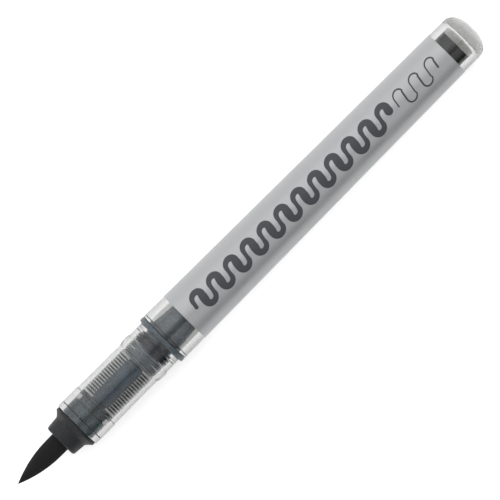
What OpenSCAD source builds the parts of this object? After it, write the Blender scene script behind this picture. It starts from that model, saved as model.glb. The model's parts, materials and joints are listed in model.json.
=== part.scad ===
// Calligraphy marker with a free-ink tank and a filament brush.
// Every piece is turned about the marker's axis. Stations along the axis are counted
// from the point of the brush, and the finished marker lies along +X.

/* [Overall] */
// Length from the brush point to the closed end
overall_l = 140; // [125:1:175]
// Diameter of the front section, at the ledge that a cap slides on
section_d = 11.7; // [11.2:0.02:15]
// How far the barrel's mouth stands out beyond that ledge
barrel_step = 0.51; // [0.3:0.01:1.5]
// Draft of the barrel towards its closed end, in degrees
barrel_draft = 0.52; // [0:0.01:0.7]

/* [Brush] */
// Length of brush that stands out of the holder
brush_out = 13.05; // [10.5:0.02:18]
// Diameter of the bound part of the brush
brush_d = 4.88; // [3.8:0.02:5.4]
// Length of the bound part behind the holder's front face
root_l = 7.44; // [6.2:0.02:9]
// Fullness of the point, higher is blunter
point_fullness = 2.05; // [1.6:0.05:2.6]
// How far the bound part stands out in front of the holder
root_proud = 1.16; // [1:0.02:1.5]
// Depth of the cup that the brush bends in
cup_depth = 1.1; // [0.8:0.02:1.2]

/* [Holder] */
// Wall of the holder round the brush at its front edge
snout_wall = 1.67; // [1.4:0.01:2.2]
// How much wider the holder's radius is where its flare begins
snout_taper = 0.21; // [0:0.01:0.4]
// Length of the holder's straight front part
snout_l = 3.14; // [2.4:0.02:5]
// Length of the hollow flare
flare_l = 1.2; // [0.8:0.02:2]
// Length of the holder's lip
lip_l = 0.77; // [0.5:0.01:1.4]
// How far the lip lies inside the section's outside
lip_inset = 0.29; // [0.05:0.01:0.6]

/* [Section] */
// Length of the nose ring
nose_ring_l = 1.53; // [1:0.01:3]
// Length of the ledge that a cap slides on
land_l = 4.38; // [3:0.02:8]
// Height of the step behind the ledge
ledge_h = 0.15; // [0.05:0.01:0.3]
// How much the section's radius falls between the ledge and the snap bead
grip_taper = 0.08; // [0:0.01:0.2]
// Length of the section between the ledge and the snap bead
grip_l = 13.05; // [10:0.05:20]
// Length of the snap bead
bead_l = 3; // [2:0.05:4]
// Height of the snap bead above the section
bead_h = 0.28; // [0.15:0.01:0.4]
// Length of the section behind the snap bead
tail_l = 2.15; // [1.6:0.05:4]
// How far the section behind the snap bead lies inside the ledge's outside
tail_inset = 0.13; // [0.05:0.01:0.3]
// Wall of the section at its thinnest, in front of the snap bead
section_wall = 1.02; // [0.8:0.01:1.25]
// Length of the collar behind the section
collar_l = 1.57; // [1.2:0.01:3]

/* [Feed] */
// Diameter of the ink wick
wick_d = 2; // [1.6:0.02:2.6]
// How far the wick reaches into the tank behind the plug
wick_reach = 4; // [2:0.1:12]
// Length of the feed head's full-width part behind the nose ring
head_l = 2.6; // [2.2:0.02:4]
// Depth of the feed head's neck below its full width
neck_depth = 0.8; // [0.3:0.05:1.5]
// Length of the feed head's neck
neck_l = 1.3; // [0.8:0.02:2.5]
// Thickness of the feed head's back disc
disc_t = 1.1; // [0.6:0.02:1.6]
// Distance from one collector fin to the next
fin_pitch = 0.7; // [0.56:0.01:1]
// Thickness of one collector fin
fin_t = 0.31; // [0.24:0.01:0.42]
// Wall of the collector's core round the wick
core_wall = 0.85; // [0.6:0.05:1.4]
// Length of the fine comb
fine_l = 3.75; // [2.4:0.05:5]
// Distance from one fin of the fine comb to the next
fine_pitch = 0.36; // [0.3:0.01:0.5]
// Length of the base behind the combs
base_l = 2.46; // [2.2:0.02:4]
// Width of the air slot along the combs
slot_w = 0.6; // [0.3:0.05:1.2]
// Width of the ribs that join the collector's fins along their upper side and underside
rib_w = 3.8; // [1:0.1:5]
// Thickness of a section seal
seal_t = 0.44; // [0.3:0.02:0.6]

/* [Tank] */
// Thickness of the flange that stops a cap
flange_t = 1.08; // [0.8:0.02:2]
// Height of the flange above the barrel's mouth
flange_proud = 0.04; // [0.04:0.01:0.6]
// Radius of the flange's front edge
flange_edge = 0.3; // [0.1:0.05:0.5]
// Height of the shoulder that carries the collar, in front of the flange
shoulder_h = 0.15; // [0.05:0.01:0.4]
// Wall of the barrel at its mouth
mouth_wall = 1.71; // [1.2:0.01:2]
// Wall of the barrel near its closed end
back_wall = 1.64; // [1:0.01:2]
// Thickness of the closed end
end_wall = 3.05; // [2:0.05:6]
// Length over which the closed end rounds off
end_round_l = 3.4; // [2:0.05:5.5]
// Radius of the corner at the bottom of the tank
tank_corner = 1.1; // [0.5:0.05:3]
// Length of the plug's cone from the barrel's mouth to its seal land
cone_l = 8.3; // [6:0.05:14]
// How far the cone's wide end lies inside the tank's wall
cone_inset = 0.64; // [0.3:0.01:1.5]
// How much the cone's radius falls along its length
cone_taper = 0.75; // [0:0.05:1.2]
// Length of the plug's seal land
seal_land_l = 3.2; // [2.4:0.05:6]
// Thickness of the tank seal
tank_seal_t = 1; // [0.7:0.05:1.4]
// Length of the air space behind the ink
air_l = 2.1; // [1:0.05:30]

/* [Label] */
// Distance from the barrel's mouth to the label
label_start = 6.25; // [3:0.05:20]
// Distance from the label to the closed end
label_back = 7.85; // [5:0.05:20]
// Thickness of the label
label_t = 0.07; // [0.04:0.01:0.15]

/* [Hidden] */
$fn = 96;

// Clearances: a seam between end faces, a push fit, a running fit, a film and a loose fit
seam = 0.05;
push_gap = 0.05;
slide_gap = 0.03;
film_gap = 0.01;
loose_gap = 0.1;

// Stations along the axis, counted from the point of the brush
face_z = brush_out;
flare_z = face_z + snout_l;
lip_z = flare_z + flare_l;
nose_z = lip_z + lip_l;
land_z = nose_z + nose_ring_l + seam;
step_z = land_z + land_l;
bead_z = step_z + grip_l;
bead_end_z = bead_z + bead_l;
tail_z = bead_end_z + tail_l;
collar_z = tail_z + seam;
flange_z = tail_z + collar_l;
mouth_z = flange_z + flange_t + seam;
round_z = overall_l - end_round_l;
tank_z = overall_l - end_wall;
root_z = face_z + root_l;

// Radii
brush_r = brush_d / 2;
wick_r = wick_d / 2;
land_r = section_d / 2;
grip_r = land_r - ledge_h;
grip_back_r = grip_r - grip_taper;
tail_r = land_r - tail_inset;
section_bore_r = grip_back_r - section_wall;
lip_r = land_r - lip_inset;
snout_r = brush_r + snout_wall;
mouth_r = land_r + barrel_step;
flange_r = mouth_r + flange_proud;
axis_h = max(flange_r, barrel_r(mouth_z + label_start) + film_gap + label_t);

// The brush bends about the middle of a ball at the back of its free part
ball_z = face_z - root_proud - cup_depth;
ball_r = brush_r - 0.11;
socket_r = ball_r + push_gap;

// Bores that hold the bound part of the brush
ferrule_r = brush_r + push_gap;
ferrule_wall = 0.54;
holder_bore_r = ferrule_r + ferrule_wall + slide_gap;
mouth_bore_r = brush_r + 0.09;
ferrule_z = face_z + 1.6;
spigot_r = holder_bore_r + 0.65;
spigot_z = root_z + 0.6;

// Feed head, washer and combs
head_r = section_bore_r - 0.2;
neck_r = head_r - neck_depth;
head_z = land_z + head_l;
socket_z = spigot_z + 0.1;
neck_z = max(head_z, socket_z + 0.8);
disc_z = neck_z + neck_l;
disc_end_z = disc_z + disc_t;
washer_t = 0.28;
bore_r = wick_r + loose_gap;
core_r = bore_r + core_wall;
fine_core_r = core_r + 0.8;
base_end_z = tail_z + 0.58;
base_z = base_end_z - base_l;
base_r = section_bore_r - 0.4;
fine_end_z = base_z - seam;
fine_z = fine_end_z - fine_l;
comb_z = disc_end_z + seam;
comb_end_z = fine_z - seam;
comb_lead = 0.56;
rib_rise = 0.03;
rib_root = 0.2;
fine_lead = 0.1;
collar_step_z = base_end_z + seam;
seal_r = seal_t / 2;
seal_ring_r = section_bore_r - slide_gap - seal_r;
seal_stations = [tail_z - 1.25, tail_z - 0.5];

// Plug, its seal land and the wick's ends
plug_nose_r = base_r - 0.5;
cone_z = mouth_z + 0.7;
seal_land_z = mouth_z + cone_l;
plug_z = seal_land_z + seal_land_l;
tank_seal_r = tank_seal_t / 2;
tank_seal_z = (seal_land_z + plug_z) / 2;
tank_seal_ring_r = tank_r(tank_seal_z) - slide_gap - tank_seal_r;
plug_land_r = tank_r(plug_z) - loose_gap;
wick_z = root_z - 2.8;
wick_end_z = plug_z + wick_reach;

// Ink column
ink_z = plug_z + 0.4;
ink_end_z = tank_z - air_l;

// Outside radius of the tapered barrel at a station
function barrel_r(z) = mouth_r - tan(barrel_draft) * (z - mouth_z);
// Radius of the tapered tank inside it
function tank_r(z) = barrel_r(z) - mouth_wall - (back_wall - mouth_wall) * (z - mouth_z) / (tank_z - mouth_z);
// Radius of the brush's free part
function tuft_r(z) = ball_r * (1 - pow(1 - z / (ball_z + 0.4), point_fullness));
// Points of an arc about [r, z], from angle a to angle b
function arc(r, z, radius, a, b, n = 8) =
    [for (i = [0:n]) [r + radius * cos(a + (b - a) * i / n), z + radius * sin(a + (b - a) * i / n)]];
// Points of the rounded closed end, an ellipse with slightly full shoulders
function closed_end(r, z, length, power = 2.3, n = 14) =
    [for (i = [0:n]) [r * pow(cos(90 * i / n), 2 / power), z + length * pow(sin(90 * i / n), 2 / power)]];
// Points round one fin, from the core out and back to it
function fin(z, t, core, tip) = [[core, z], [tip, z], [tip, z + t], [core, z + t]];

// Stands a turned piece on the shared axis and lays it down along +X
module laid_down() {
    translate([-overall_l / 2, 0, axis_h]) rotate([0, 90, 0]) children();
}

// A piece turned from an outline of [radius, station] points
module turned(outline) {
    laid_down() rotate_extrude() polygon(outline);
}

// A ring of round section
module ring(ring_r, section_r, z) {
    laid_down() translate([0, 0, z]) rotate_extrude() translate([ring_r, 0]) circle(section_r);
}

// A comb: a bored core with a row of fins, cut by an air slot along its underside. A rib of
// the given width joins the fins along their upper side, and one that holds as much plastic
// beside the slot joins them along their underside
module comb(z, end_z, lead, pitch, t, core, tip, rib = 0) {
    count = floor((end_z - z - lead) / pitch);
    rib_end_z = z + lead + (count - 1) * pitch + t / 2;
    rib_tip = tip + rib_rise;
    outline = concat(
        [[bore_r, z], [core, z]],
        [for (i = [0:count - 1]) each fin(z + lead + i * pitch, t, core, tip)],
        [[core, end_z], [bore_r, end_z]]
    );
    laid_down() difference() {
        union() {
            rotate_extrude() polygon(outline);
            if (rib > 0) intersection() {
                rotate_extrude() polygon([
                    [core - rib_root, z + lead + t / 2], [rib_tip, z + lead + t / 2],
                    [rib_tip, rib_end_z], [core - rib_root, rib_end_z]
                ]);
                union() {
                    translate([-2 * tip, -rib / 2, z]) cube([2 * tip, rib, end_z - z]);
                    translate([0, -(rib + slot_w) / 2, z]) cube([2 * tip, rib + slot_w, end_z - z]);
                }
            }
        }
        translate([core, -slot_w / 2, z - 1]) cube([tip, slot_w, end_z - z + 2]);
    }
}

// Free part of the brush, with a round heel
module brush_tuft() {
    steps = 14;
    color("#2b2b2d") turned(concat(
        [for (i = [0:steps]) [tuft_r(ball_z * i / steps), ball_z * i / steps]],
        arc(0, ball_z, ball_r, 0, 90)
    ));
}

// Bound part of the brush, with a cup for the heel and a hole for the wick
module brush_root() {
    rim_z = face_z - root_proud;
    rim_a = asin((rim_z - ball_z) / socket_r);
    color("#303033") turned(concat(
        arc(0, ball_z, socket_r, 90, rim_a),
        [[brush_r, rim_z], [brush_r, root_z], [bore_r, root_z], [bore_r, wick_z - loose_gap],
        [0, wick_z - loose_gap]]
    ));
}

// Sleeve that grips the bound filaments
module brush_ferrule() {
    color("#9a9da2") turned([
        [ferrule_r, ferrule_z], [ferrule_r + ferrule_wall - 0.15, ferrule_z],
        [ferrule_r + ferrule_wall, ferrule_z + 0.2], [ferrule_r + ferrule_wall, root_z], [ferrule_r, root_z]
    ]);
}

// Holder: straight snout, hollow flare, lip and the spigot behind it
module nib_holder() {
    edge = 0.6;
    lip_edge = 0.12;
    flare_hollow = 1.3;
    back_r = snout_r + snout_taper;
    rise = lip_r - lip_edge - back_r;
    steps = 8;
    color("#35373b") turned(concat(
        [[mouth_bore_r, face_z + 0.15], [mouth_bore_r + 0.15, face_z]],
        arc(snout_r - edge, face_z + edge, edge, -90, 0),
        [for (i = [0:steps]) [back_r + rise * pow(i / steps, flare_hollow), flare_z + flare_l * i / steps]],
        [[lip_r, lip_z + lip_edge], [lip_r, nose_z - lip_edge], [lip_r - lip_edge, nose_z],
        [spigot_r, nose_z], [spigot_r, spigot_z - 0.2], [spigot_r - 0.2, spigot_z], [holder_bore_r, spigot_z],
        [holder_bore_r, ferrule_z - seam], [mouth_bore_r, ferrule_z - seam]]
    ));
}

// Clear ring between the holder's lip and the section
module nose_ring() {
    edge = 0.25;
    outer = land_r - 0.01;
    z = nose_z + seam;
    end = nose_z + nose_ring_l;
    color("#c4cacd") turned(concat(
        [[head_r + push_gap, z]],
        arc(outer - edge, z + edge, edge, -90, 0, 5),
        [[outer, end - 0.05], [outer - 0.05, end], [head_r + push_gap, end]]
    ));
}

// Clear front section with the cap's ledge and snap bead
module section_tube() {
    steps = 12;
    color("#cdd2d4") turned(concat(
        [[section_bore_r, land_z], [land_r - 0.06, land_z], [land_r, land_z + 0.06],
        [land_r, step_z - 0.05], [grip_r, step_z]],
        [for (i = [0:steps]) [
            grip_back_r + (tail_r - grip_back_r) * i / steps + bead_h * pow(sin(180 * i / steps), 0.6),
            bead_z + bead_l * i / steps
        ]],
        [[tail_r, tail_z - 0.06], [tail_r - 0.06, tail_z], [section_bore_r, tail_z]]
    ));
}

// Translucent block that takes the holder's spigot and leads the wick on
module feed_head() {
    edge = 0.5;
    color("#6f7b86") turned(concat(
        [[spigot_r + push_gap, nose_z + seam], [head_r, nose_z + seam]],
        arc(head_r - edge, neck_z - edge, edge, 0, 90, 6),
        [[neck_r, neck_z], [neck_r, disc_z]],
        [[section_bore_r - push_gap, disc_z], [section_bore_r - push_gap, disc_end_z], [bore_r, disc_end_z],
        [bore_r, socket_z], [spigot_r + push_gap, socket_z]]
    ));
}

// Thin clear ring round the feed head's neck
module feed_washer() {
    z = neck_z + 0.02;
    color("#e4e8ea") turned([
        [neck_r + slide_gap, z], [section_bore_r - loose_gap, z],
        [section_bore_r - loose_gap, z + washer_t], [neck_r + slide_gap, z + washer_t]
    ]);
}

// Comb that takes up spare ink
module collector() {
    color("#5b6772")
        comb(comb_z, comb_end_z, comb_lead, fin_pitch, fin_t, core_r, section_bore_r - loose_gap, rib_w);
}

// Finer comb behind the collector
module fine_comb() {
    color("#8b959c")
        comb(fine_z, fine_end_z, fine_lead, fine_pitch, fine_pitch / 2, fine_core_r, section_bore_r - 2 * loose_gap);
}

// Discs behind the combs, with grooves for the section seals
module collector_base() {
    groove_r = seal_ring_r - seal_r - slide_gap;
    half = seal_r + slide_gap;
    color("#3b4249") turned(concat(
        [[bore_r, base_z], [base_r, base_z]],
        [for (z = seal_stations) each [[base_r, z - half], [groove_r, z - half], [groove_r, z + half], [base_r, z + half]]],
        [[base_r, base_end_z], [bore_r, base_end_z]]
    ));
}

// Sealing rings in those grooves
module section_seals() {
    color("#1e2022") for (z = seal_stations) ring(seal_ring_r, seal_r, z);
}

// Fibre wick from the tank to the brush
module feed_wick() {
    color("#41464c") turned([
        [0, wick_z], [wick_r - 0.2, wick_z], [wick_r, wick_z + 0.3], [wick_r, wick_end_z - 0.3],
        [wick_r - 0.2, wick_end_z], [0, wick_end_z]
    ]);
}

// Clear collar between the section and the flange
module collar() {
    end = flange_z - shoulder_h - film_gap;
    color("#c9ced1") turned([
        [base_r + loose_gap, collar_z], [tail_r - 0.06, collar_z], [tail_r, collar_z + 0.06], [tail_r, end],
        [plug_nose_r + push_gap, end], [plug_nose_r + push_gap, collar_step_z], [base_r + loose_gap, collar_step_z]
    ]);
}

// Plug: nose, shoulder, flange, mouth land, cone and seal land in one moulding
module tank_plug() {
    shoulder_r = tail_r + slide_gap;
    mouth_land_r = tank_r(cone_z) - push_gap;
    cone_r = tank_r(cone_z) - cone_inset;
    flange_end = mouth_z - seam;
    groove_r = tank_seal_ring_r - tank_seal_r - slide_gap;
    half = tank_seal_r + slide_gap;
    color("#7d8388") turned(concat(
        [[bore_r, collar_step_z + seam], [plug_nose_r, collar_step_z + seam], [plug_nose_r, flange_z - shoulder_h],
        [shoulder_r, flange_z - shoulder_h], [shoulder_r, flange_z]],
        arc(flange_r - flange_edge, flange_z + flange_edge, flange_edge, -90, 0, 6),
        [[flange_r, flange_end - 0.1], [flange_r - 0.1, flange_end], [mouth_land_r, flange_end],
        [mouth_land_r, cone_z - 0.1], [mouth_land_r - 0.1, cone_z], [cone_r, cone_z],
        [cone_r - cone_taper, seal_land_z], [plug_land_r, seal_land_z + 0.2]],
        [[plug_land_r, tank_seal_z - half], [groove_r, tank_seal_z - half],
        [groove_r, tank_seal_z + half], [plug_land_r, tank_seal_z + half]],
        [[plug_land_r, plug_z - 0.3], [plug_land_r - 0.3, plug_z], [bore_r, plug_z]]
    ));
}

// Sealing ring between the plug and the tank's bore
module tank_seal() {
    color("#2a2c2e") ring(tank_seal_ring_r, tank_seal_r, tank_seal_z);
}

// Clear barrel: mouth, tapered tank and moulded closed end
module barrel() {
    edge = 0.2;
    corner_z = tank_z - tank_corner;
    color("#d3d8da") turned(concat(
        [[tank_r(mouth_z) + 0.1, mouth_z]],
        arc(mouth_r - edge, mouth_z + edge, edge, -90, 0, 4),
        closed_end(barrel_r(round_z), round_z, end_round_l),
        [[0, tank_z]],
        arc(tank_r(corner_z) - tank_corner, corner_z, tank_corner, 90, 0),
        [[tank_r(mouth_z + 0.1), mouth_z + 0.1]]
    ));
}

// Silver sleeve printed and wrapped round the barrel
module barrel_label() {
    start = mouth_z + label_start;
    end = overall_l - label_back;
    inner = film_gap;
    outer = film_gap + label_t;
    color("#b6babd") turned([
        [barrel_r(start) + inner, start], [barrel_r(start) + outer, start],
        [barrel_r(end) + outer, end], [barrel_r(end) + inner, end]
    ]);
}

// Free ink that fills the tank behind the plug, round the end of the wick
module ink() {
    pocket_z = wick_end_z + loose_gap;
    color("#17181a") turned([
        [bore_r, ink_z], [tank_r(ink_z) - slide_gap, ink_z], [tank_r(ink_end_z) - slide_gap, ink_end_z],
        [0, ink_end_z], [0, pocket_z], [bore_r, pocket_z]
    ]);
}

brush_tuft();
brush_root();
brush_ferrule();
nib_holder();
nose_ring();
section_tube();
feed_head();
feed_washer();
collector();
fine_comb();
collector_base();
section_seals();
feed_wick();
collar();
tank_plug();
tank_seal();
barrel();
barrel_label();
ink();
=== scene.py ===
import json
import math
import random

import bmesh
import bpy
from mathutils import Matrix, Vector


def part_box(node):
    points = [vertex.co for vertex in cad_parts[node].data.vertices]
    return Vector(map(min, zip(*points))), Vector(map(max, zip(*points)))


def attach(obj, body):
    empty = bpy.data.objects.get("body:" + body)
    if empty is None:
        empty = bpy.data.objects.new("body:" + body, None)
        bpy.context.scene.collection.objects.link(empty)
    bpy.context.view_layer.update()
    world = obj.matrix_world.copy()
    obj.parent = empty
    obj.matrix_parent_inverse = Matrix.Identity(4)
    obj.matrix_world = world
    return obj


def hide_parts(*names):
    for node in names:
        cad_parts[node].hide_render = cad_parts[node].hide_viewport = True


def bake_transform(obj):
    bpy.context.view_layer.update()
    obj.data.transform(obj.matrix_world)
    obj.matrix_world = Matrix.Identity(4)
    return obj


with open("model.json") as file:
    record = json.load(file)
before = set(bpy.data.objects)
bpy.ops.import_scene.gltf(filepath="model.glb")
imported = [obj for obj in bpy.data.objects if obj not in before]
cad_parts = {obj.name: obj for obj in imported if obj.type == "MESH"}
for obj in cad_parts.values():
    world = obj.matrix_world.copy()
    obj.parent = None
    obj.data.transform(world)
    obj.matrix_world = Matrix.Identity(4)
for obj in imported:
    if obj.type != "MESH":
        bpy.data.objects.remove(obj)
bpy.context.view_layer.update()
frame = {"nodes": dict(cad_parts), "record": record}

# Calligraphy marker: detailed pieces, materials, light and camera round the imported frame.
# Everything is in metres. The marker's axis runs along X at the height AXIS_H.

MM = 0.001
SEGMENTS = 192
NODES = frame["nodes"]
BODIES = frame["record"]["behaviour"]["bodies"]
BODY_OF = {node: body for body, members in BODIES.items() for node in members}
AXIS_H = sum(corner[2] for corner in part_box("barrel")) / 2
POINT_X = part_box("brush_tuft")[0][0]
END_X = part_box("barrel")[1][0]


# ---------------------------------------------------------------- turned pieces

def walk(edges):
    """Puts loose edges in order: a list of closed loops of points."""
    links = {}
    for edge in edges:
        for a, b in ((0, 1), (1, 0)):
            links.setdefault(edge.verts[a], []).append(edge.verts[b])
    loops = []
    left = dict.fromkeys(links)
    while left:
        vert = next(iter(left))
        left.pop(vert)
        loop = [vert]
        while True:
            onward = [v for v in links[vert] if v in left]
            if not onward:
                break
            vert = onward[0]
            left.pop(vert)
            loop.append(vert)
        loops.append([v.co.copy() for v in loop])
    return loops


def outline(node, turn=180):
    """Half-section of a turned CAD node, taken a given turn in degrees from straight up.

    Gives its (x, radius) points in order, and whether they close on themselves."""
    mesh = bmesh.new()
    mesh.from_mesh(NODES[node].data)
    bmesh.ops.remove_doubles(mesh, verts=mesh.verts, dist=1e-8)
    angle = math.radians(turn + 0.02)
    out = Vector((0, math.sin(angle), math.cos(angle)))
    cut = bmesh.ops.bisect_plane(
        mesh, geom=mesh.verts[:] + mesh.edges[:] + mesh.faces[:], dist=1e-9,
        plane_co=(0, 0, AXIS_H), plane_no=(0, out.z, -out.y),
    )["geom_cut"]
    loops = walk([e for e in cut if isinstance(e, bmesh.types.BMEdge)])
    mesh.free()
    half = [[(p.x, p.y * out.y + (p.z - AXIS_H) * out.z) for p in loop] for loop in loops]
    whole = [loop for loop in half if min(r for _, r in loop) > 0]
    if whole:
        return simplified(max(whole, key=len), True), True
    loop = max(half, key=len)
    start = next(i for i, (_, r) in enumerate(loop) if r <= 0 < loop[(i + 1) % len(loop)][1])
    loop = loop[start:] + loop[:start]
    run = [p for p in loop[1:] if p[1] > 0]
    before, after = loop[0], loop[(len(run) + 1) % len(loop)]
    return simplified([on_axis(before, run[0])] + run + [on_axis(run[-1], after)], False), False


def on_axis(a, b):
    """Where the line from a to b meets the axis."""
    t = a[1] / (a[1] - b[1]) if a[1] != b[1] else 0
    return (a[0] + (b[0] - a[0]) * t, 0.0)


def turning(a, b, c):
    """Angle in degrees by which the way turns at b."""
    u = Vector((b[0] - a[0], b[1] - a[1]))
    v = Vector((c[0] - b[0], c[1] - b[1]))
    if u.length < 1e-9 or v.length < 1e-9:
        return 0
    return math.degrees(abs(u.angle_signed(v)))


def neighbours(points, i, closed):
    """The points before and after point i; an open outline mirrors at the axis."""
    if closed or 0 < i < len(points) - 1:
        return points[i - 1], points[(i + 1) % len(points)]
    x, r = points[1] if i == 0 else points[-2]
    return ((x, -r), (x, r)) if i == 0 else ((x, r), (x, -r))


def simplified(points, closed, near=3e-7):
    """Drops repeated points and points in the middle of straight stretches."""
    kept = []
    for p in points:
        if not kept or math.dist(p, kept[-1]) > near:
            kept.append(p)
    changed = True
    while changed:
        changed = False
        for i in range(len(kept) - 1, -1, -1):
            if not closed and i in (0, len(kept) - 1):
                continue
            a, c = neighbours(kept, i, closed)
            chord = Vector((c[0] - a[0], c[1] - a[1]))
            arm = Vector((kept[i][0] - a[0], kept[i][1] - a[1]))
            if chord.length < near or abs(chord.x * arm.y - chord.y * arm.x) / chord.length < near:
                kept.pop(i)
                changed = True
    return kept


def refined(points, closed, gentle=24, extra=3):
    """Puts spline points between the points of curved stretches."""
    count = len(points)
    out = []
    for i in range(count if closed else count - 1):
        p1, p2 = points[i], points[(i + 1) % count]
        p0, after1 = neighbours(points, i, closed)
        before2, p3 = neighbours(points, (i + 1) % count, closed)
        out.append(p1)
        lengths = [math.dist(p0, p1), math.dist(p1, p2), math.dist(p2, p3)]
        bends = [turning(p0, p1, after1), turning(before2, p2, p3)]
        if max(lengths) > 3.5 * min(lengths) or max(bends) > gentle or min(bends) < 0.3:
            continue
        for k in range(1, extra):
            t = k / extra
            out.append(tuple(
                0.5 * (
                    2 * b + (c - a) * t + (2 * a - 5 * b + 4 * c - d) * t * t
                    + (3 * b - a - 3 * c + d) * t ** 3
                )
                for a, b, c, d in zip(p0, p1, p2, p3)
            ))
    return out if closed else out + [points[-1]]


def rounded(points, closed, radius, sharp=24, steps=4):
    """Rounds the corners of an outline."""
    out = []
    for i, p in enumerate(points):
        a, c = neighbours(points, i, closed)
        bend = turning(a, p, c)
        if bend < sharp or (not closed and i in (0, len(points) - 1)):
            out.append(p)
            continue
        u = (Vector(a) - Vector(p))
        v = (Vector(c) - Vector(p))
        reach = min(radius * math.tan(math.radians(bend / 2)), 0.42 * u.length, 0.42 * v.length)
        start, end = Vector(p) + u.normalized() * reach, Vector(p) + v.normalized() * reach
        for k in range(steps + 1):
            t = k / steps
            out.append(tuple(start * (1 - t) ** 2 + Vector(p) * 2 * t * (1 - t) + end * t * t))
    return out


def guarded(points, closed, near=0.03 * MM):
    """Adds a point near each end of long straight stretches, so that shading stays flat along them."""
    count = len(points)
    out = []
    for i in range(count if closed else count - 1):
        a, b = Vector(points[i]), Vector(points[(i + 1) % count])
        out.append(tuple(a))
        if (b - a).length > 5 * near:
            step = (b - a).normalized() * near
            out += [tuple(a + step), tuple(b - step)]
    return out if closed else out + [points[-1]]


def spun(points, closed, segments=SEGMENTS):
    """A bmesh turned about the marker's axis from (x, radius) points."""
    mesh = bmesh.new()
    rings = []
    for x, r in points:
        if r < 1e-7:
            rings.append([mesh.verts.new((x, 0, AXIS_H))] * segments)
            continue
        angles = [2 * math.pi * k / segments for k in range(segments)]
        rings.append([mesh.verts.new((x, r * math.sin(a), AXIS_H + r * math.cos(a))) for a in angles])
    pairs = list(zip(rings, rings[1:])) + ([(rings[-1], rings[0])] if closed else [])
    for a, b in pairs:
        for k in range(segments):
            n = (k + 1) % segments
            corners = list(dict.fromkeys((a[k], a[n], b[n], b[k])))
            if len(corners) > 2:
                mesh.faces.new(corners)
    bmesh.ops.recalc_face_normals(mesh, faces=mesh.faces)
    return mesh


def add_piece(name, mesh, body, material, replaced=(), crease=38):
    """Makes an object of a bmesh, smooth but creased where it turns sharply, and puts it on its body."""
    for face in mesh.faces:
        face.smooth = True
    for edge in mesh.edges:
        edge.smooth = len(edge.link_faces) == 2 and edge.calc_face_angle(0) < math.radians(crease)
    data = bpy.data.meshes.new(name)
    mesh.to_mesh(data)
    mesh.free()
    piece = bpy.data.objects.new(name, data)
    bpy.context.scene.collection.objects.link(piece)
    data.materials.append(material)
    if body:
        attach(piece, body)
    if replaced:
        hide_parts(*replaced)
    return piece


def turned_piece(node, name, material, edge=0.05 * MM, segments=SEGMENTS):
    """The CAD node's own shape, turned finely and with its edges broken."""
    points, closed = outline(node)
    points = guarded(rounded(refined(points, closed), closed, edge), closed)
    return add_piece(name, spun(points, closed, segments), BODY_OF[node], material, (node,))


# ---------------------------------------------------------------- materials

# Places across the marker between which a colour runs into another: away from the key light, where a paler
# painted-light colour stands in for the light that side lacks; beside the combs' cores; and beside the dark
# line of the plug's wick
PAINTED_LIGHT_SIDE = (-1.1 * MM, -2.5 * MM)
COMB_BAND = (1.7 * MM, 2.3 * MM)
WICK_BAND = (0.4 * MM, 0.9 * MM)
WICK_LINE = -0.3 * MM


def new_material(name, **values):
    """A Principled material with plain socket values, and its tree and shader."""
    material = bpy.data.materials.new(name)
    material.use_nodes = True
    tree = material.node_tree
    shader = tree.nodes["Principled BSDF"]
    for socket, value in values.items():
        shader.inputs[socket.replace("_", " ")].default_value = value
    return material, tree, shader


def grain(tree, size, stretch=(1, 1, 1), detail=3.0, roughness=0.5):
    """Noise of a given grain size in metres, drawn out along an axis by stretch."""
    coords = tree.nodes.new("ShaderNodeTexCoord")
    mapping = tree.nodes.new("ShaderNodeMapping")
    mapping.inputs["Scale"].default_value = [1 / (size * s) for s in stretch]
    noise = tree.nodes.new("ShaderNodeTexNoise")
    noise.inputs["Scale"].default_value = 1.0
    noise.inputs["Detail"].default_value = detail
    noise.inputs["Roughness"].default_value = roughness
    tree.links.new(coords.outputs["Object"], mapping.inputs["Vector"])
    tree.links.new(mapping.outputs["Vector"], noise.inputs["Vector"])
    return noise.outputs["Fac"]


def spread(tree, source, low, high, start=0.3, end=0.7):
    """Maps a noise value on to a range."""
    node = tree.nodes.new("ShaderNodeMapRange")
    node.inputs["From Min"].default_value = start
    node.inputs["From Max"].default_value = end
    node.inputs["To Min"].default_value = low
    node.inputs["To Max"].default_value = high
    tree.links.new(source, node.inputs["Value"])
    return node.outputs["Result"]


def blend_colours(tree, source, low, high, start=0.3, end=0.7):
    """Runs between two colours as a noise value rises."""
    ramp = tree.nodes.new("ShaderNodeValToRGB")
    ramp.color_ramp.elements[0].position = start
    ramp.color_ramp.elements[0].color = (*low, 1)
    ramp.color_ramp.elements[1].position = end
    ramp.color_ramp.elements[1].color = (*high, 1)
    tree.links.new(source, ramp.inputs["Fac"])
    return ramp.outputs["Color"]


def relief(tree, shader, source, depth, strength=1.0):
    """Bumps the surface by a noise value, depth in metres."""
    bump = tree.nodes.new("ShaderNodeBump")
    bump.inputs["Strength"].default_value = strength
    bump.inputs["Distance"].default_value = depth
    tree.links.new(source, bump.inputs["Height"])
    tree.links.new(bump.outputs["Normal"], shader.inputs["Normal"])
    return bump


def place_along(tree, axis):
    """Where a point lies along one of the object's axes, in metres."""
    coords = tree.nodes.new("ShaderNodeTexCoord")
    parts = tree.nodes.new("ShaderNodeSeparateXYZ")
    tree.links.new(coords.outputs["Object"], parts.inputs["Vector"])
    return parts.outputs[axis]


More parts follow.
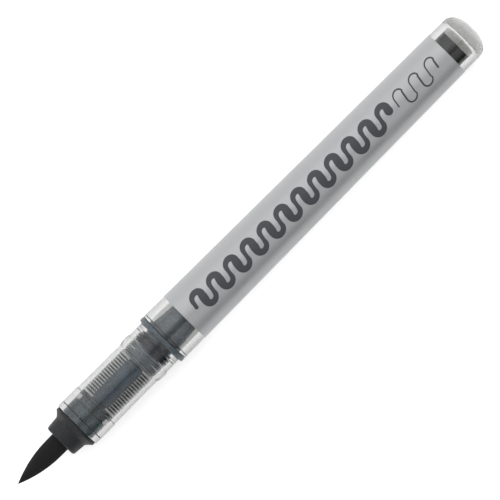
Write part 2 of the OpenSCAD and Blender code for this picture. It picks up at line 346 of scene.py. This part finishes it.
def clear_plastic(name, tint, smooth=0.004, worn=0.03, ripple=0.0):
    """Polished clear plastic with faint handling haze and fine scratches; ripple is the depth of the
    moulding's waves at the marker's closed end."""
    material, tree, shader = new_material(
        name, Base_Color=(*tint, 1), Roughness=0.03, IOR=1.49, Transmission_Weight=1.0,
    )
    haze = spread(tree, grain(tree, 2.2 * MM, (2.5, 1, 1), 4), smooth, worn, 0.42, 0.72)
    tree.links.new(haze, shader.inputs["Roughness"])
    fine = relief(tree, shader, grain(tree, 0.25 * MM, (9, 1, 1), 2), 0.0012 * MM, 0.6)
    if ripple:
        waves = relief(tree, shader, grain(tree, 1.1 * MM, (0.7, 1.5, 1), 2, 0.5), ripple)
        near_end = spread(tree, place_along(tree, "X"), 0, 1, END_X - 4.5 * MM, END_X - 2.5 * MM)
        tree.links.new(near_end, waves.inputs["Strength"])
        tree.links.new(fine.outputs["Normal"], waves.inputs["Normal"])
    return material


def off_centre(tree, centre):
    """Distance to either side of a line along the marker, in metres."""
    offset = tree.nodes.new("ShaderNodeMath")
    offset.operation = "SUBTRACT"
    offset.inputs[1].default_value = centre
    size = tree.nodes.new("ShaderNodeMath")
    size.operation = "ABSOLUTE"
    tree.links.new(place_along(tree, "Y"), offset.inputs[0])
    tree.links.new(offset.outputs[0], size.inputs[0])
    return size.outputs[0]


def run_into(tree, tone, other, place, start, end):
    """Runs a colour into another as a place value goes from start to end."""
    mix = tree.nodes.new("ShaderNodeMix")
    mix.data_type = "RGBA"
    mix.inputs[7].default_value = (*other, 1)
    tree.links.new(spread(tree, place, 0, 1, start, end), mix.inputs[0])
    tree.links.new(tone, mix.inputs[6])
    return mix.outputs[2]


def tinted_plastic(name, dark, light, through, far_painted_light, rough=0.28, edge=None, middle=0.0, band=COMB_BAND):
    """Translucent moulding stained by ink, in uneven patches.

    far is a paler colour painted on the side away from the key light: painted light standing in for the
    light that side lacks. edge is its colour outside a band along its middle, and band gives the
    distances from the middle between which it changes."""
    material, tree, shader = new_material(name, Roughness=rough, IOR=1.5, Transmission_Weight=through)
    stain_and_painted_light = blend_colours(tree, grain(tree, 3 * MM, (1, 1, 1), 2, 0.4), dark, light, 0.35, 0.68)
    if edge:
        stain_and_painted_light = run_into(tree, stain_and_painted_light, edge, off_centre(tree, middle), *band)
    # Painted light: towards the side away from the key light, the ink stain runs into the paler far colour.
    stain_and_painted_light = run_into(tree, stain_and_painted_light, far_painted_light, place_along(tree, "Y"), *PAINTED_LIGHT_SIDE)
    tree.links.new(stain_and_painted_light, shader.inputs["Base Color"])
    gloss = spread(tree, grain(tree, 0.7 * MM, (1, 1, 1), 3), rough - 0.08, rough + 0.12)
    tree.links.new(gloss, shader.inputs["Roughness"])
    relief(tree, shader, grain(tree, 0.5 * MM, (1, 1, 1), 1), 0.001 * MM, 0.3)
    return material


def moulded_plastic(name, dark, light, rough=0.5, texture=0.004 * MM, specular=0.3, far_painted_light=None):
    """Fine matt moulded plastic; far is a paler colour painted on the side away from the key light: painted
    light standing in for the light that side lacks.
    """
    material, tree, shader = new_material(name, Roughness=rough, IOR=1.5, Specular_IOR_Level=specular)
    tone = blend_colours(tree, grain(tree, 0.5 * MM, (1, 1, 1), 5, 0.6), dark, light)
    # Painted light: towards the side away from the key light, the colour runs into the paler far colour.
    if far_painted_light:
        tone = run_into(tree, tone, far_painted_light, place_along(tree, "Y"), *PAINTED_LIGHT_SIDE)
    tree.links.new(tone, shader.inputs["Base Color"])
    gloss = spread(tree, grain(tree, 0.9 * MM, (1.5, 1, 1), 4), rough - 0.08, rough + 0.1)
    tree.links.new(gloss, shader.inputs["Roughness"])
    relief(tree, shader, grain(tree, 0.07 * MM, (1, 1, 1), 3, 0.6), texture, 0.8)
    return material


def filament_fibre(name, dark, light, rough=0.42):
    """Ink-soaked nylon filaments: fine streaks along the brush."""
    material, tree, shader = new_material(name, Roughness=rough, IOR=1.53, Specular_IOR_Level=0.2)
    streaks = grain(tree, 0.05 * MM, (60, 1, 1), 3, 0.6)
    tone = blend_colours(tree, streaks, dark, light, 0.35, 0.7)
    tree.links.new(tone, shader.inputs["Base Color"])
    gloss = spread(tree, grain(tree, 0.09 * MM, (40, 1, 1), 2), rough - 0.1, rough + 0.14)
    tree.links.new(gloss, shader.inputs["Roughness"])
    relief(tree, shader, streaks, 0.006 * MM, 0.7)
    return material


def silver_film(name):
    """Metallised label film under a satin varnish."""
    material, tree, shader = new_material(
        name, Metallic=0.55, Roughness=0.4, IOR=1.5, Coat_Weight=0.35, Coat_Roughness=0.3,
    )
    flake = grain(tree, 0.035 * MM, (1.6, 1, 1), 2, 0.7)
    tone = blend_colours(tree, flake, (0.345, 0.35, 0.355), (0.41, 0.415, 0.42), 0.3, 0.7)
    tree.links.new(tone, shader.inputs["Base Color"])
    gloss = spread(tree, grain(tree, 3 * MM, (2, 1, 1), 4), 0.36, 0.46)
    tree.links.new(gloss, shader.inputs["Roughness"])
    relief(tree, shader, grain(tree, 0.3 * MM, (1, 1, 1), 3, 0.6), 0.0015 * MM, 0.5)
    return material


def printing_ink(name):
    """Dark grey printing ink, satin, slightly uneven in cover."""
    material, tree, shader = new_material(name, Roughness=0.42, IOR=1.5, Specular_IOR_Level=0.35)
    cover = grain(tree, 0.06 * MM, (1, 1, 1), 3, 0.7)
    tone = blend_colours(tree, cover, (0.035, 0.037, 0.042), (0.06, 0.063, 0.07))
    tree.links.new(tone, shader.inputs["Base Color"])
    gloss = spread(tree, grain(tree, 1.2 * MM, (1, 1, 1), 3), 0.38, 0.48)
    tree.links.new(gloss, shader.inputs["Roughness"])
    return material


def liquid_ink(name):
    """Wet black ink."""
    material, tree, shader = new_material(name, Roughness=0.08, IOR=1.34, Specular_IOR_Level=0.1)
    cloud = grain(tree, 2.5 * MM, (1, 1, 1), 2)
    tone = blend_colours(tree, cloud, (0.004, 0.004, 0.006), (0.012, 0.012, 0.015))
    tree.links.new(tone, shader.inputs["Base Color"])
    gloss = spread(tree, grain(tree, 1.5 * MM, (1, 1, 1), 2), 0.05, 0.14)
    tree.links.new(gloss, shader.inputs["Roughness"])
    return material


CLEAR = clear_plastic("clear_plastic", (0.63, 0.635, 0.625))
CLEAR_BARREL = clear_plastic("clear_barrel_plastic", (0.66, 0.665, 0.655), ripple=0.12 * MM)
# The fourth colour given to each stained moulding below is painted light: a paler tone on the side away
# from the key light, standing in for the light that side lacks.
TINTED = tinted_plastic(
    "feed_head_plastic", (0.045, 0.11, 0.14), (0.08, 0.165, 0.205), 0.1, (0.16, 0.25, 0.29),
)
COMB = tinted_plastic(
    "comb_plastic", (0.03, 0.085, 0.14), (0.055, 0.13, 0.21), 0.1, (0.085, 0.105, 0.12),
    0.3, (0.035, 0.055, 0.07),
)
FINE_COMB = tinted_plastic(
    "fine_comb_plastic", (0.45, 0.56, 0.68), (0.55, 0.66, 0.78), 0.2, (0.66, 0.72, 0.8),
    0.3, (0.66, 0.72, 0.78),
)
PLUG = tinted_plastic(
    "plug_plastic", (0.05, 0.1, 0.15), (0.08, 0.135, 0.185), 0.12, (0.28, 0.34, 0.41),
    0.22, (0.23, 0.29, 0.35),
    WICK_LINE, WICK_BAND,
)
FLANGE = tinted_plastic(
    "flange_plastic", (0.055, 0.075, 0.09), (0.085, 0.105, 0.125), 0.1, (0.06, 0.08, 0.095),
)
# The base's last colour is painted light: a paler tone on the side away from the key light.
BASE = moulded_plastic(
    "collector_base_plastic", (0.006, 0.035, 0.085), (0.014, 0.055, 0.12), 0.32, 0.002 * MM,
    0.08, (0.06, 0.12, 0.2),
)
HOLDER = moulded_plastic("holder_plastic", (0.01, 0.0105, 0.012), (0.018, 0.019, 0.021), 0.5)
FERRULE = moulded_plastic("ferrule_plastic", (0.25, 0.27, 0.29), (0.36, 0.38, 0.4), 0.4)
SEAL = moulded_plastic("seal_rubber", (0.012, 0.012, 0.013), (0.022, 0.022, 0.024), 0.6)
WICK = filament_fibre("wick_fibre", (0.03, 0.033, 0.038), (0.08, 0.085, 0.095), 0.7)
BRUSH = filament_fibre("brush_filaments", (0.004, 0.004, 0.0045), (0.011, 0.011, 0.012))
SILVER = silver_film("silver_label_film")
PRINT = printing_ink("label_printing_ink")
INK = liquid_ink("liquid_ink")
FILM = clear_plastic("ink_film", (0.95, 0.945, 0.94), 0.05, 0.2)
DRIED = moulded_plastic("dried_ink", (0.012, 0.012, 0.015), (0.03, 0.03, 0.035), 0.5, 0.002 * MM)


# ---------------------------------------------------------------- section and barrel

def ink_film(thickness=0.02 * MM):
    """Outline of the thin film of ink left on the tank's wall in the air space behind the ink."""
    ink, _ = outline("ink")
    tank, _ = outline("barrel")
    start = max(x for x, _ in ink) + 0.02 * MM
    wall_r = max(r for x, r in ink if x > start - MM)
    wall = [(x, r) for x, r in tank if start < x < END_X - MM and r < wall_r + 0.01 * MM]
    wall.sort(key=lambda p: p[0] - p[1])
    outer = [(start, wall_r)] + [(x - 0.01 * MM, r - 0.01 * MM) for x, r in wall if r > 0.1 * MM]
    inner = [(x - thickness * (i > 0), r - thickness) for i, (x, r) in enumerate(outer)]
    return outer + inner[::-1]


def seam_ring(name, node, place, inner_r, outer_r, thickness):
    """A hairline of dried ink in the joint between two mouldings."""
    half = thickness / 2
    front, back = place - half, place + half
    ring = spun([(front, inner_r), (back, inner_r), (back, outer_r), (front, outer_r)], True, 128)
    add_piece(name, ring, BODY_OF[node], DRIED)


tube_low, tube_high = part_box("section_tube")
tube_bore = min(r for _, r in outline("section_tube")[0]) + 0.05 * MM
step_x = tube_low[0] + 4.36 * MM
barrel_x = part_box("barrel")[0][0]
SEAMS = [
    ("nose_seam", "section_tube", tube_low[0], tube_bore, 5.66 * MM, 0.24 * MM),
    ("step_seam", "section_tube", step_x, tube_bore, 5.6 * MM, 0.14 * MM),
    ("tail_seam", "section_tube", tube_high[0], tube_bore, 5.4 * MM, 0.2 * MM),
    ("mouth_seam", "barrel", barrel_x + 0.7 * MM, 4.75 * MM, 6.2 * MM, 0.16 * MM),
]
for row in SEAMS:
    seam_ring(*row)
turned_piece("section_tube", "clear_section", CLEAR)
turned_piece("nose_ring", "clear_nose_ring", CLEAR)
turned_piece("collar", "clear_collar", CLEAR)
turned_piece("barrel", "clear_barrel", CLEAR_BARREL, 0.08 * MM)
turned_piece("feed_washer", "feed_ring", CLEAR, 0.03 * MM)
turned_piece("feed_head", "stained_feed_head", TINTED)
plug = turned_piece("tank_plug", "grey_tank_plug", PLUG)
plug.data.materials.append(FLANGE)
for face in plug.data.polygons:
    face.material_index = int(face.center.x < barrel_x)
turned_piece("collector_base", "base_discs", BASE)
turned_piece("nib_holder", "charcoal_holder", HOLDER, 0.07 * MM)
turned_piece("ink", "ink_column", INK, 0.15 * MM)
add_piece("ink_film", spun(ink_film(), True, 96), BODY_OF["ink"], FILM)
turned_piece("feed_wick", "fibre_wick", WICK, 0.05 * MM, 64)
turned_piece("brush_ferrule", "root_sleeve", FERRULE, 0.04 * MM, 96)


def block(name, low, high):
    """A plain box that cuts or joins another piece and is then removed."""
    mesh = bmesh.new()
    bmesh.ops.create_cube(mesh, size=1)
    for vert in mesh.verts:
        for k in range(3):
            vert.co[k] = low[k] + (high[k] - low[k]) * (vert.co[k] + 0.5)
    data = bpy.data.meshes.new(name)
    mesh.to_mesh(data)
    mesh.free()
    piece = bpy.data.objects.new(name, data)
    bpy.context.scene.collection.objects.link(piece)
    return piece


def combined(piece, other, operation):
    """Applies a boolean with a helper piece, and removes the helper."""
    step = piece.modifiers.new(operation, "BOOLEAN")
    step.object = other
    step.operation = operation
    step.solver = "EXACT"
    bpy.context.view_layer.update()
    shape = bpy.data.meshes.new_from_object(piece.evaluated_get(bpy.context.evaluated_depsgraph_get()))
    piece.modifiers.clear()
    piece.data = shape
    bpy.data.objects.remove(other)


def comb_piece(node, name, material, edge, rib=0.0):
    """A turned comb with the CAD node's air slot along its underside, and its two ribs, rib wide."""
    points, closed = outline(node, 90)
    mesh = spun(guarded(rounded(points, closed, edge, steps=2), closed, 0.02 * MM), closed, 128)
    piece = add_piece(name, mesh, BODY_OF[node], material, (node,))
    radii = sorted(r for _, r in points)
    core_r = next(r for r in radii if r > radii[0] + 0.2 * MM)
    tip_r = radii[-1]
    low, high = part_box(node)
    slot_half = 0.3 * MM
    if rib:
        top, _ = outline(node, 0)
        rib_r = max(r for _, r in top)
        ends = [x for x, r in top if abs(r - rib_r) < 1e-6]
        foot_r = core_r - 0.1 * MM
        for side, half in ((1, rib / 2), (-1, rib / 2 + slot_half)):
            front, back = min(ends), max(ends)
            shell = spun([(front, foot_r), (back, foot_r), (back, rib_r), (front, rib_r)], True, 128)
            bar = add_piece("rib", shell, None, material)
            heights = sorted((AXIS_H, AXIS_H + side * 2 * tip_r))
            limits = block("limits", (low[0], -half, heights[0]), (high[0], half, heights[1]))
            combined(bar, limits, "INTERSECT")
            combined(piece, bar, "UNION")
    cut_low = (low[0] - MM, -slot_half, AXIS_H - 2 * tip_r)
    cut_high = (high[0] + MM, slot_half, AXIS_H - core_r)
    combined(piece, block("slot", cut_low, cut_high), "DIFFERENCE")


RIB_WIDTH = 3.8 * MM
comb_piece("collector", "collector_comb", COMB, 0.03 * MM, RIB_WIDTH)
comb_piece("fine_comb", "fine_collector_comb", FINE_COMB, 0.02 * MM)
for node in ("section_seals", "tank_seal"):
    NODES[node].data.materials.clear()
    NODES[node].data.materials.append(SEAL)


# ---------------------------------------------------------------- label and its print

def label_radius(x):
    """Outside radius of the label at a place along the marker."""
    (x0, r0), (x1, r1) = LABEL_FRONT, LABEL_BACK
    return r0 + (r1 - r0) * (x - x0) / (x1 - x0)


def wrapped_label(inner_front, inner_back, lap=0.03 * MM, columns=288, seam=math.radians(205)):
    """The silver sleeve: a sheet wrapped once round, with a fine step where its ends overlap underneath."""
    mesh = bmesh.new()
    strips = []
    front, back = LABEL_FRONT, LABEL_BACK
    for k in range(columns + 1):
        a = seam + 2 * math.pi * k / columns
        drop = lap * (1 - k / columns)
        edge = 0.015 * MM
        section = [
            inner_front, (front[0], front[1] - drop - edge), (front[0] + edge, front[1] - drop),
            (front[0] + 3 * edge, front[1] - drop), (back[0] - 3 * edge, back[1] - drop),
            (back[0] - edge, back[1] - drop), (back[0], back[1] - drop - edge), inner_back,
        ]
        strips.append([mesh.verts.new((x, r * math.sin(a), AXIS_H + r * math.cos(a))) for x, r in section])
    for a, b in zip(strips, strips[1:]):
        for k in range(len(a)):
            n = (k + 1) % len(a)
            mesh.faces.new((a[k], b[k], b[n], a[n]))
    mesh.faces.new(strips[0])
    mesh.faces.new(list(reversed(strips[-1])))
    bmesh.ops.recalc_face_normals(mesh, faces=mesh.faces)
    return mesh


def meander(start, length, turns, height, slant):
    """Centre line of a run of rounded up and down strokes, as (x, across, phase) points.

    The phase is whole at the start of each stroke."""
    pitch = length / turns
    bow = pitch / 4
    stem = height / 2 - bow
    strokes = 2 * turns
    points = []
    for k in range(strokes):
        x = start + bow / 2 + k * pitch / 2 * (strokes - 0.5) / strokes
        way = 1 if k % 2 == 0 else -1
        for i in range(8):
            points.append((x, way * stem * (2 * i / 8 - 1), k + 0.5 * i / 8))
        if k == strokes - 1:
            points.append((x, way * stem, k + 0.5))
            break
        for i in range(12):
            a = math.pi * (1 - i / 12)
            bend = (x + bow * (1 + math.cos(a)), way * (stem + bow * math.sin(a)))
            points.append((*bend, k + 0.5 + 0.5 * i / 12))
    return [(x + slant * v, v, p) for x, v, p in points]


def stroke(mesh, line, thin, thick, lift=0.014 * MM, sink=0.004 * MM, across=6):
    """A flat printed stroke along a centre line, laid on the label, thin and thick by turns."""
    along = [0.0]
    for a, b in zip(line, line[1:]):
        along.append(along[-1] + math.dist(a[:2], b[:2]))
    top, bottom = [], []
    for i, (x, v, phase) in enumerate(line):
        a, b = line[max(i - 1, 0)], line[min(i + 1, len(line) - 1)]
        way = Vector((b[0] - a[0], b[1] - a[1])).normalized()
        half = (thin + (thick - thin) * (0.5 - 0.5 * math.cos(math.pi * (phase - 0.25)))) / 2
        end = min(along[i], along[-1] - along[i]) / half
        half *= math.sqrt(max(1 - (1 - min(end, 1)) ** 2, 0.02))
        for rows, offset in ((top, lift), (bottom, -sink)):
            row = []
            for k in range(across + 1):
                side = half * (2 * k / across - 1)
                px, pv = x - way.y * side, v + way.x * side
                r = label_radius(px)
                row.append(mesh.verts.new((
                    px, (r + offset) * math.sin(pv / r), AXIS_H + (r + offset) * math.cos(pv / r),
                )))
            rows.append(row)
    for i in range(len(line) - 1):
        for k in range(across):
            mesh.faces.new((top[i][k], top[i][k + 1], top[i + 1][k + 1], top[i + 1][k]))
            mesh.faces.new((bottom[i][k], bottom[i + 1][k], bottom[i + 1][k + 1], bottom[i][k + 1]))
        for k in (0, across):
            mesh.faces.new((top[i][k], top[i + 1][k], bottom[i + 1][k], bottom[i][k]))
    for i in (0, len(line) - 1):
        for k in range(across):
            mesh.faces.new((top[i][k], top[i][k + 1], bottom[i][k + 1], bottom[i][k]))


label_points, _ = outline("barrel_label")
front_pair = sorted(label_points)[:2]
back_pair = sorted(label_points)[-2:]
LABEL_FRONT, LABEL_BACK = max(front_pair, key=lambda p: p[1]), max(back_pair, key=lambda p: p[1])
label_mesh = wrapped_label(min(front_pair, key=lambda p: p[1]), min(back_pair, key=lambda p: p[1]))
add_piece("silver_label", label_mesh, BODY_OF["barrel_label"], SILVER, ("barrel_label",))

print_mesh = bmesh.new()
PRINT_SLANT = 0.16
BOLD_LENGTH = 63.4 * MM
FINE_LENGTH = 15.8 * MM
bold_start = LABEL_FRONT[0] + 2.8 * MM
fine_start = bold_start + BOLD_LENGTH - 1.5 * MM
bold_line = meander(bold_start, BOLD_LENGTH, 12, 4.4 * MM, PRINT_SLANT)
fine_line = meander(fine_start, FINE_LENGTH, 3, 4.7 * MM, PRINT_SLANT)
stroke(print_mesh, bold_line, 0.9 * MM, 1.95 * MM)
stroke(print_mesh, fine_line, 0.3 * MM, 0.42 * MM)
bmesh.ops.recalc_face_normals(print_mesh, faces=print_mesh.faces)
add_piece("label_print", print_mesh, BODY_OF["barrel_label"], PRINT, (), 60)


# ---------------------------------------------------------------- brush

def brush_radius(points, x):
    """Radius of an outline's outside at a place along the marker."""
    best = 0.0
    for a, b in zip(points, points[1:]):
        low, high = sorted((a, b))
        if low[0] <= x <= high[0] and high[0] > low[0]:
            best = max(best, low[1] + (high[1] - low[1]) * (x - low[0]) / (high[0] - low[0]))
    return best


def filament_brush():
    """The whole brush: a tapered body under a layer of separate filaments that gather to the point."""
    rng = random.Random(11)
    tuft, _ = outline("brush_tuft")
    root, _ = outline("brush_root")
    tuft = refined(tuft, False)
    rim_x = min(x for x, _ in root)
    back_x = max(x for x, _ in root)
    heel_x = max(tuft, key=lambda p: p[1])[0]
    heel_r = max(r for _, r in tuft)
    bound_r = heel_r + 0.02 * MM

    def outer(x):
        """Radius of the brush's outside, which runs smoothly from its free part into its bound part."""
        if x < heel_x:
            return brush_radius(tuft, x)
        t = min((x - heel_x) / (rim_x + 1.2 * MM - heel_x), 1)
        return heel_r + (bound_r - heel_r) * t

    fibre = 0.062 * MM
    full = 1.6 * MM
    stations = [POINT_X + (back_x - POINT_X) * (i / 90) ** 1.35 for i in range(91)]
    body = [(x, max(outer(x) - 0.55 * fibre * min(1, outer(x) / MM), 0)) for x in stations]
    body[0] = (POINT_X, 0.0)
    mesh = spun(body + [(back_x, 0.0)], False, 160)
    count = 168
    for k in range(count):
        turn = 2 * math.pi * (k + rng.uniform(-0.3, 0.3)) / count
        first = POINT_X + (0.0 if k % 7 == 0 else MM * 5.5 * rng.random() ** 1.6)
        swirl = rng.uniform(-0.05, 0.05)
        proud = rng.uniform(-0.012, 0.014) * MM
        rings = []
        steps = 40
        for i in range(steps + 1):
            x = first + (back_x - first) * (i / steps) ** 1.4
            taper = min(1, 0.12 + (x - first) / full)
            size = fibre * taper * min(1, 0.25 + outer(x) / full)
            r = max(outer(x) - size + (proud + 0.03 * MM) * taper, 0)
            a = turn + swirl * (1 - i / steps)
            centre = Vector((x, r * math.sin(a), AXIS_H + r * math.cos(a)))
            out, side = Vector((0, math.sin(a), math.cos(a))), Vector((0, math.cos(a), -math.sin(a)))
            rings.append([
                mesh.verts.new(centre + (out * math.cos(b) + side * math.sin(b)) * size)
                for b in (2 * math.pi * j / 6 for j in range(6))
            ])
        for a, b in zip(rings, rings[1:]):
            for j in range(6):
                n = (j + 1) % 6
                mesh.faces.new((a[j], a[n], b[n], b[j]))
        mesh.faces.new(list(reversed(rings[0])))
        mesh.faces.new(rings[-1])
    bmesh.ops.recalc_face_normals(mesh, faces=mesh.faces)
    piece = add_piece("filament_brush", mesh, None, BRUSH, ("brush_tuft", "brush_root"), 75)
    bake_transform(piece)


filament_brush()


# ---------------------------------------------------------------- floor, light and camera

def floor():
    """A plain pale floor, tipped so that the tapered marker rests on its flange and on its closed end."""
    plug_low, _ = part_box("tank_plug")
    front_x, back_x = plug_low[0] + 1.2 * MM, END_X - 4 * MM
    flange_r = AXIS_H - plug_low[2]
    end_r = AXIS_H - min(p.co.z for p in NODES["barrel"].data.vertices if p.co.x > back_x)
    slope = math.atan((flange_r - end_r) / (back_x - front_x))
    mesh = bmesh.new()
    bmesh.ops.create_grid(mesh, x_segments=8, y_segments=8, size=8)
    data = bpy.data.meshes.new("floor")
    mesh.to_mesh(data)
    mesh.free()
    plane = bpy.data.objects.new("floor", data)
    plane.rotation_euler = (0, -slope, 0)
    plane.location = (0, 0, AXIS_H - flange_r - math.tan(slope) * front_x)
    bpy.context.scene.collection.objects.link(plane)
    material, tree, shader = new_material("floor_paint", Roughness=0.7, Emission_Color=(1, 1, 1, 1))
    seen = tree.nodes.new("ShaderNodeLightPath")
    glow = spread(tree, seen.outputs["Is Camera Ray"], 0.3, 0.5, 0, 1)
    tree.links.new(glow, shader.inputs["Emission Strength"])
    tone = blend_colours(tree, grain(tree, 60 * MM, (1, 1, 1), 2), (0.89, 0.89, 0.89), (0.91, 0.91, 0.91))
    tree.links.new(tone, shader.inputs["Base Color"])
    data.materials.append(material)


def softbox(name, place, target, width, height, watts):
    """A large rectangular soft light, aimed at a point."""
    light = bpy.data.lights.new(name, "AREA")
    light.shape = "RECTANGLE"
    light.size = width
    light.size_y = height
    light.energy = watts
    lamp = bpy.data.objects.new(name, light)
    lamp.location = place
    lamp.rotation_euler = (Vector(place) - Vector(target)).to_track_quat("Z", "Y").to_euler()
    bpy.context.scene.collection.objects.link(lamp)


def studio():
    """Pale surroundings, darker to one side, so that the marker is shaded round its length.

    The camera itself sees them as plain white."""
    world = bpy.data.worlds.new("studio")
    bpy.context.scene.world = world
    world.use_nodes = True
    tree = world.node_tree
    back = tree.nodes["Background"]
    coords = tree.nodes.new("ShaderNodeTexCoord")
    parts = tree.nodes.new("ShaderNodeSeparateXYZ")
    tree.links.new(coords.outputs["Generated"], parts.inputs["Vector"])
    ramp = tree.nodes.new("ShaderNodeValToRGB")
    tree.links.new(spread(tree, parts.outputs["Y"], 0, 1, -1, 1), ramp.inputs["Fac"])
    tones = [
        (0.0, 0.08), (0.055, 0.2), (0.13, 0.8), (0.31, 0.88),
        (0.35, 0.55), (0.475, 0.55), (0.5, 1.1), (1.0, 1.07),
    ]
    for place, _ in tones[1:-1]:
        ramp.color_ramp.elements.new(place)
    for stop, (place, tone) in zip(ramp.color_ramp.elements, tones):
        stop.position = place
        stop.color = (tone, tone, tone * 1.005, 1)
    seen = tree.nodes.new("ShaderNodeLightPath")
    shown = tree.nodes.new("ShaderNodeMix")
    shown.data_type = "RGBA"
    tree.links.new(seen.outputs["Is Camera Ray"], shown.inputs[0])
    tree.links.new(ramp.outputs["Color"], shown.inputs[6])
    shown.inputs[7].default_value = (0.97, 0.97, 0.97, 1)
    tree.links.new(shown.outputs[2], back.inputs["Color"])
    back.inputs["Strength"].default_value = 1.05
    softbox("key_softbox", (0.05, 0.6, 0.8), (0, 0, 0), 1.4, 0.9, 1.6)


def camera():
    """Looks straight down on the marker from far off, turned so that the brush points to the lower left.

    across is the width of what it sees."""
    distance = 3.0
    across = 0.10865
    aim = ((POINT_X + END_X) / 2 + 1.66 * MM, 0.16 * MM)
    data = bpy.data.cameras.new("camera")
    data.sensor_width = 36
    data.lens = data.sensor_width * distance / across
    data.clip_start = 0.01
    data.clip_end = 20
    view = bpy.data.objects.new("camera", data)
    view.location = (*aim, AXIS_H + distance)
    view.rotation_euler = (0, 0, math.radians(-45.12))
    bpy.context.scene.collection.objects.link(view)
    bpy.context.scene.camera = view


floor()
studio()
camera()
bpy.context.scene.view_settings.view_transform = "Standard"
